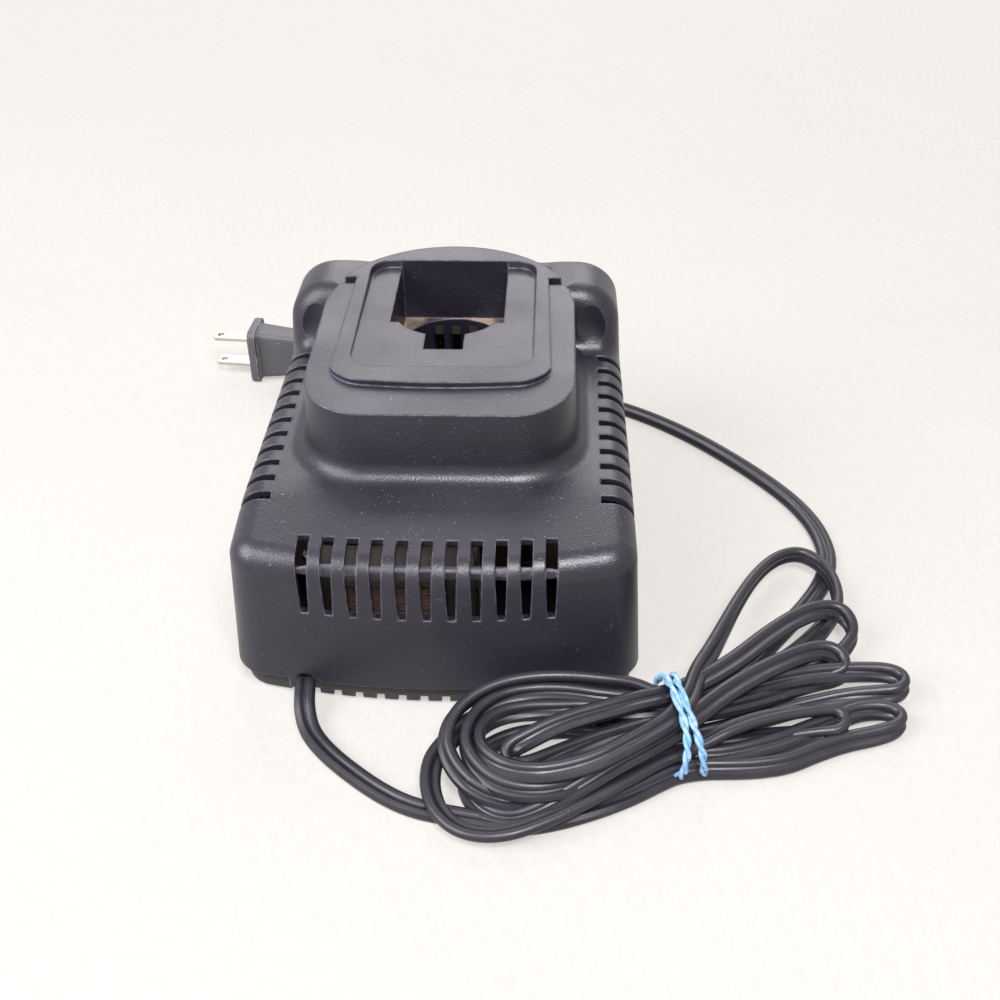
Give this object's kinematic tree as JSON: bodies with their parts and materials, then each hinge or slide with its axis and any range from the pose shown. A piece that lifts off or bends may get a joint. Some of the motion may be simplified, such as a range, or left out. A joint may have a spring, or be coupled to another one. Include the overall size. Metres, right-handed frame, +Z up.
{
  "type": "power tool battery charger",
  "caption": "Charger for stem-type power tool batteries: tapered vented case, raised dock with a deep keyed pocket, sprung contacts and a hanked flat mains cord with plug.",
  "frame": {"origin": "bottom centre of the charger's own bounding box, on the surface it stands on, with its cord left out", "axes": "+X to the right seen from the end where the cord leaves, +Y from that end towards the end with the indicator lights, +Z up"},
  "size_m": [0.2771, 0.2841, 0.0922],
  "materials": {
    "housing_plastic": "fine moulded texture",
    "tray_plastic": "fine moulded texture",
    "foot_rubber": "plain",
    "zinc_steel": "zinc plated",
    "board_laminate": "solder mask",
    "sheet_plastic": "thin insulating sheet",
    "sink_aluminium": "extruded",
    "component_black": "moulded epoxy",
    "capacitor_sleeve": "shrink sleeve",
    "resistor_lacquer": "lacquered",
    "relay_plastic": "moulded",
    "fuse_glass": "clear",
    "tinned_steel": "tinned",
    "led_resin": "diffused resin",
    "red_lens": "clear tinted",
    "green_lens": "clear tinted",
    "lamination_steel": "varnished laminations",
    "bobbin_plastic": "moulded nylon",
    "enamelled_copper": "enamelled copper wire",
    "carrier_plastic": "moulded",
    "nickelled_bronze": "nickel plated",
    "wire_insulation": "soft insulation",
    "bushing_plastic": "moulded",
    "cord_sheath": "soft sheath with a ridge on each flat side",
    "band_rubber": "pale blue, thin and twisted",
    "plug_moulding": "moulded soft plastic",
    "nickelled_brass": "nickel plated"
  },
  "bodies": {
    "charger": {"top_housing": "housing_plastic", "base_tray": "tray_plastic", "rubber_feet": "foot_rubber", "housing_screws": "zinc_steel", "circuit_board": "board_laminate", "insulating_sheet": "sheet_plastic", "board_screws": "zinc_steel", "heat_sink": "sink_aluminium", "power_transistors": "component_black", "transistor_screws": "zinc_steel", "filter_capacitors": "capacitor_sleeve", "small_capacitors": "capacitor_sleeve", "rectifier_diodes": "component_black", "resistors": "resistor_lacquer", "relay": "relay_plastic", "control_chip": "component_black", "fuse": "fuse_glass", "fuse_clips": "tinned_steel", "indicator_leds": "led_resin", "light_pipe_red": "red_lens", "light_pipe_green": "green_lens", "transformer_core": "lamination_steel", "transformer_bobbin": "bobbin_plastic", "primary_winding": "enamelled_copper", "secondary_winding": "enamelled_copper", "transformer_strap": "tinned_steel", "transformer_screws": "zinc_steel", "contact_carrier": "carrier_plastic", "contact_leads": "nickelled_bronze", "mains_leads": "wire_insulation", "secondary_leads": "wire_insulation", "cord_bushing": "bushing_plastic", "cord_clamp": "bushing_plastic", "clamp_screws": "zinc_steel", "power_cord_lead": "cord_sheath", "power_cord_hank": "cord_sheath", "power_cord_tail": "cord_sheath", "rubber_band": "band_rubber", "plug_body": "plug_moulding", "plug_blades": "nickelled_brass"},
    "contact_positive": {"contact_positive": "nickelled_bronze"},
    "contact_negative": {"contact_negative": "nickelled_bronze"},
    "contact_sense": {"contact_sense": "nickelled_bronze"}
  },
  "joints": [
    {"name": "contact_positive_flex", "type": "hinge", "parent": "charger", "child": "contact_positive", "pos_m": [-0.0066, 0.05215, 0.04], "axis": [-1, 0, 0], "range_deg": [0, 2.6], "stiffness_Nm_per_rad": 0.2},
    {"name": "contact_negative_flex", "type": "hinge", "parent": "charger", "child": "contact_negative", "pos_m": [0.0066, 0.05215, 0.04], "axis": [-1, 0, 0], "range_deg": [0, 2.6], "stiffness_Nm_per_rad": 0.2},
    {"name": "contact_sense_flex", "type": "hinge", "parent": "charger", "child": "contact_sense", "pos_m": [0, 0.05215, 0.04], "axis": [-1, 0, 0], "range_deg": [0, 2.6], "stiffness_Nm_per_rad": 0.2}
  ]
}
